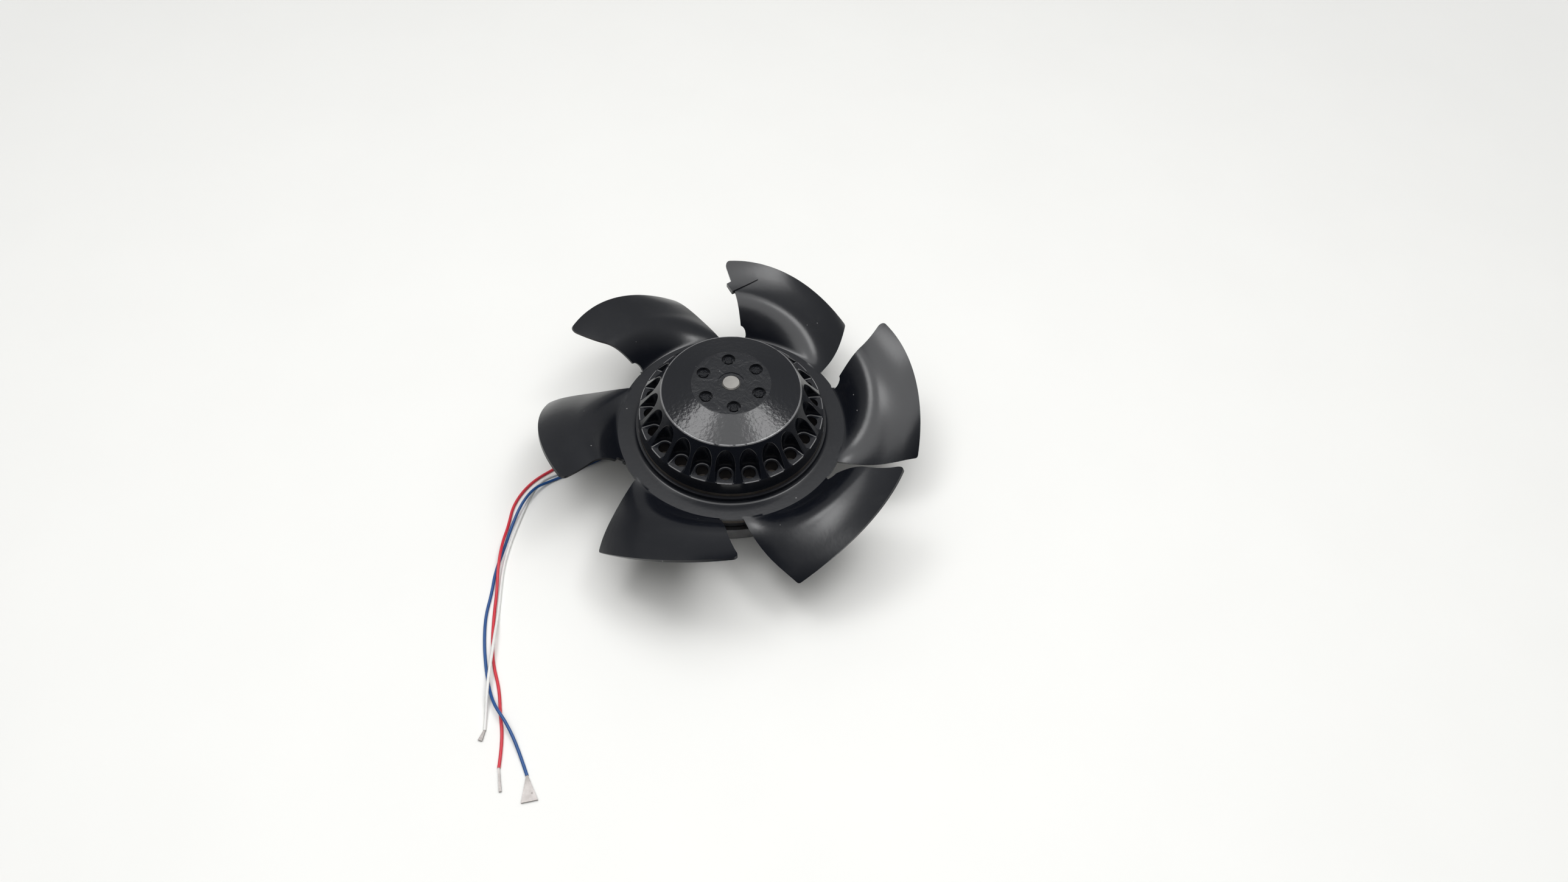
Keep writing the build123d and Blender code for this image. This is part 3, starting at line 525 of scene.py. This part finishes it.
def gloss_black():
    paint = Material("gloss_black_paint", Specular_IOR_Level=0.5)
    radius, height = paint.circle()
    x, y, _ = paint.axes()
    angle = y.math("ARCTAN2", x)
    peel = paint.noise(1.7, 2.0, 0.45)
    fine = paint.noise(0.45, 2.0)
    swirl = paint.node("ShaderNodeTexNoise", {}, Vector=paint.place, Scale=1 / (6 * MM), Detail=3.0,
                       Roughness=0.55, Distortion=1.6)
    on_face = radius.below(FACE_RIM[0], 0.3) * height.above(FACE_RIM[1] - 2.0, 0.1)
    on_cone = height.above(CONE_RIM[1], 0.2) * radius.above(FACE_RIM[0], 0.3)
    pocket = (angle * POCKETS + math.radians(90.0 * POCKETS)).math("COSINE").above(-0.15, 0.1)
    # Pale metal on the cone's rim and the pockets' rims: partly paint worn through, partly a painted highlight for
    # the glint of rounded rims.
    wear_and_painted_glint = on_rim(radius, height, CONE_RIM, 0.35, 0.12) * paint.noise(4.0, 3.0).above(0.34, 0.06) * 0.35
    wear_and_painted_glint = wear_and_painted_glint + on_rim(radius, height, BAND_RIM, 0.22, 0.1) * pocket * 0.45
    dust = paint.specks(6.0, 0.2, 0.35)
    base = paint.mix(dust * 0.6, (0.004, 0.005, 0.008), (0.3, 0.3, 0.3))
    paint.feed("Base Color", paint.mix(wear_and_painted_glint, base, (0.62, 0.62, 0.63)))
    paint.feed("Metallic", wear_and_painted_glint)
    paint.feed("Roughness", 0.15 + fine * 0.08 + on_face * 0.08 + wear_and_painted_glint * 0.2 + dust * 0.3)
    gate = (angle * GATES - GATES * GATE_PHASE).math("COSINE").above(0.78, 0.05)
    stub = (radius - GATE_CIRCLE).math("ABSOLUTE").below(GATE_STUB, 0.1) * gate * height.below(FACE_RIM[1] - 0.4, 0.1)
    paint.bump((peel * (on_cone * 0.85 + 0.15), 0.14), (swirl * on_face, 0.22), (fine, 0.006),
               (paint.noise(0.9, 4.0, 0.7) * stub, 0.9))
    return paint


gloss = gloss_black()
dress(nodes["rotor_bell"], gloss)

# %% [markdown]
# ## Bare metals
# The rotor's stack shows as a rough brown-grey wall, the flange is bare cast aluminium, and the shaft's
# end is turned steel. Turned and ground marks are rings round the axis: noise stretched along the turning
# direction by reading it at the radius and height alone.

# %% Metals
def metal(name, colour, dark, rough, grain_size=0.5, depth=0.01, spots=0.0):
    """Bare metal: cloudy colour, ring marks, fine grain, and dark spots in a share of its cells."""
    made = Material(name, Metallic=1.0)
    radius, height = made.circle()
    rings = made.node("ShaderNodeCombineXYZ", {}, radius * 0.001, height * 0.001, 0.0)
    marks = made.noise(0.35, 2.0, 0.6, where=rings)
    cloud = made.noise(8.0, 4.0, 0.6)
    grain = made.noise(grain_size, 3.0, 0.6)
    stain = made.specks(3.0, 0.5, spots)
    share = cloud.above(0.5, 0.25) * 0.6 + stain * 0.5
    made.feed("Base Color", made.mix(share, colour, dark))
    made.feed("Roughness", rough + marks * 0.12 + grain * 0.1 - 0.1)
    made.bump((grain, depth), (marks, 0.004))
    return made


def plastic(name, colour, rough, grain_size=0.6):
    """Moulded or drawn plastic with a slightly uneven skin."""
    made = Material(name)
    cloud = made.noise(6.0, 3.0)
    grain = made.noise(grain_size, 2.0)
    made.feed("Base Color", made.mix(cloud.above(0.5, 0.3) * 0.3, colour, [c * 0.75 for c in colour]))
    made.feed("Roughness", rough + grain * 0.1)
    made.bump((grain, 0.006))
    return made


finishes = {
    "cast": metal("cast_aluminium", (0.36, 0.36, 0.37), (0.20, 0.20, 0.205), 0.42, 0.5, 0.012, 0.2),
    "stack": metal("stacked_steel", (0.16, 0.145, 0.13), (0.07, 0.055, 0.045), 0.55, 0.4, 0.02, 0.5),
    "turned": metal("turned_steel", (0.42, 0.41, 0.39), (0.27, 0.26, 0.25), 0.33, 0.4, 0.008, 0.3),
    "spring": metal("spring_steel", (0.22, 0.22, 0.25), (0.12, 0.11, 0.12), 0.35, 0.4, 0.004, 0.1),
    "copper": metal("copper_winding", (0.55, 0.22, 0.10), (0.35, 0.12, 0.05), 0.35, 0.4, 0.02, 0.1),
    "strand": metal("tinned_strands", (0.35, 0.33, 0.32), (0.10, 0.09, 0.085), 0.40, 0.5, 0.004, 0.3),
    "rubber": plastic("black_rubber", (0.02, 0.02, 0.02), 0.6),
    "nylon": plastic("natural_nylon", (0.72, 0.69, 0.60), 0.45),
    "bakelite": plastic("black_moulding", (0.03, 0.03, 0.03), 0.35),
    "red": plastic("red_insulation", (0.62, 0.025, 0.045), 0.30),
    "blue": plastic("blue_insulation", (0.010, 0.075, 0.26), 0.30),
    "white": plastic("white_insulation", (0.80, 0.80, 0.78), 0.30),
}
NODE_FINISH = {
    "stator_flange": "cast", "lead_grommet": "rubber", "splice_sleeves": "nylon", "stator_laminations": "stack",
    "lower_end_cap": "nylon", "upper_end_cap": "nylon", "stator_coils": "copper", "thermal_protector": "bakelite",
    "lower_bearing_outer_race": "turned", "upper_bearing_outer_race": "turned",
    "lower_bearing_inner_race": "turned", "upper_bearing_inner_race": "turned",
    "lower_bearing_shields": "turned", "upper_bearing_shields": "turned",
    "lower_bearing_balls": "turned", "upper_bearing_balls": "turned", "preload_spring": "spring",
    "shaft": "turned", "shaft_circlip": "spring", "shaft_spacer": "turned", "rotor_laminations": "stack",
    "lead_red_strands": "strand", "lead_blue_strands": "strand", "lead_white_strands": "strand",
}
for name, finish in NODE_FINISH.items():
    dress(nodes[name], finishes[finish])
for colour, piece in leads.items():
    dress(piece, finishes[colour])
print("finishes", len(finishes))

# %% [markdown]
# ## Floor and light
# A black object is drawn by what it reflects, so the room around it matters more than the lamps' power.
# The front of the cone mirrors what is straight above, its rear mirrors the far wall, and the sloping
# shoulder mirrors the viewer's side. The photograph shows two bright places above, a pale far wall and a
# dark viewer's side, so that is the room made here: two soft lamps, and a world whose strength depends on
# the direction. The table is near white. Far from the fan it gives its own pale light to the camera
# alone, so that no horizon shows from the side.

# %% Table
TABLE_SIZE = 6.0
PALE = 0.90


def make_table():
    mesh = bpy.data.meshes.new("table")
    half = TABLE_SIZE / 2
    corners = [(-half, -half, 0), (half, -half, 0), (half, half, 0), (-half, half, 0)]
    mesh.from_pydata(corners, [], [(0, 1, 2, 3)])
    table = bpy.data.objects.new("table", mesh)
    bpy.context.scene.collection.objects.link(table)
    look = Material("white_table")
    radius, height = look.circle()
    look.feed("Base Color", look.mix(look.noise(60.0, 3.0), (0.84, 0.84, 0.82), (0.87, 0.87, 0.85)))
    look.feed("Roughness", 0.5 + look.noise(3.0) * 0.1)
    far = look.node("ShaderNodeEmission", {}, (PALE, PALE, PALE * 0.985, 1.0), 1.0)
    camera_ray = look.node("ShaderNodeLightPath", {}, output="Is Camera Ray")
    near = Value(look, look.shader.outputs[0])
    blend = look.node("ShaderNodeMixShader", {}, camera_ray * radius.above(750.0, 450.0), near, far)
    output = look.tree.nodes["Material Output"]
    look.tree.links.new(blend.socket, output.inputs["Surface"])
    dress(table, look)
    table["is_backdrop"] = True


make_table()


# %% Lamps and room
PANEL_HEIGHT = 1.2         # wide panel overhead, in metres
PANEL_SIZE = 1.6
PANEL_GLOW = 2.0           # radiance, where 1 is a white wall
LAMP_SPREAD = 0.42         # how far each lamp hangs to its side
LAMP_BACK = 0.12
LAMP_HEIGHT = 1.1
LAMP_SIZE = 0.36
LAMP_GLOW = 5.0


def area_lamp(name, place, size, glow, target=(0.0, 0.0, 0.03)):
    """A round lamp that faces the target. Its power is pi times its area times its radiance."""
    lamp = bpy.data.lights.new(name, "AREA")
    lamp.shape = "DISK"
    lamp.size = size
    lamp.energy = math.pi * (math.pi * size ** 2 / 4) * glow
    holder = bpy.data.objects.new(name, lamp)
    bpy.context.scene.collection.objects.link(holder)
    direction = Vector(target) - Vector(place)
    holder.matrix_world = Matrix.Translation(place) @ direction.to_track_quat("-Z", "Y").to_matrix().to_4x4()
    return holder


area_lamp("wide_panel", (0.0, -0.1, PANEL_HEIGHT), PANEL_SIZE, PANEL_GLOW, target=(0.0, -0.1, 0.0))
area_lamp("lamp_left", (-LAMP_SPREAD, LAMP_BACK, LAMP_HEIGHT), LAMP_SIZE, LAMP_GLOW)
area_lamp("lamp_right", (LAMP_SPREAD, LAMP_BACK, LAMP_HEIGHT), LAMP_SIZE, LAMP_GLOW)


def step(tree, value, low, high, start, end):
    """A world node that goes smoothly from start to end while the value goes from low to high."""
    made = tree.nodes.new("ShaderNodeMapRange")
    made.interpolation_type = "SMOOTHSTEP"
    tree.links.new(value, made.inputs["Value"])
    for name, number in (("From Min", low), ("From Max", high), ("To Min", start), ("To Max", end)):
        made.inputs[name].default_value = number
    return made.outputs[0]


def make_room():
    """Dark on the viewer's side, pale at the far wall, and brightest at the ceiling."""
    world = bpy.data.worlds.new("room")
    world.use_nodes = True
    tree = world.node_tree
    direction = tree.nodes.new("ShaderNodeTexCoord")
    split = tree.nodes.new("ShaderNodeSeparateXYZ")
    tree.links.new(direction.outputs["Generated"], split.inputs[0])
    wall = step(tree, split.outputs["Y"], -0.75, 0.7, 0.03, 0.32)
    ceiling = step(tree, split.outputs["Z"], 0.30, 0.75, 0.0, 0.22)
    total = tree.nodes.new("ShaderNodeMath")
    tree.links.new(wall, total.inputs[0])
    tree.links.new(ceiling, total.inputs[1])
    seen = tree.nodes.new("ShaderNodeLightPath")
    strength = tree.nodes.new("ShaderNodeMix")
    tree.links.new(seen.outputs["Is Camera Ray"], strength.inputs[0])
    tree.links.new(total.outputs[0], strength.inputs[2])
    strength.inputs[3].default_value = PALE
    tree.links.new(strength.outputs[0], tree.nodes["Background"].inputs["Strength"])
    tree.nodes["Background"].inputs["Color"].default_value = (1.0, 1.0, 0.99, 1.0)
    bpy.context.scene.world = world


make_room()
bpy.context.scene.view_settings.view_transform = "Standard"

# %% Measure and finish
bpy.context.view_layer.update()
visual_low, visual_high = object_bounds()
for axis, a, b, c, d in zip("XYZ", cad_low, cad_high, visual_low, visual_high):
    print(axis, "frame", round(a / MM, 2), round(b / MM, 2), "visual", round(c / MM, 2), round(d / MM, 2))
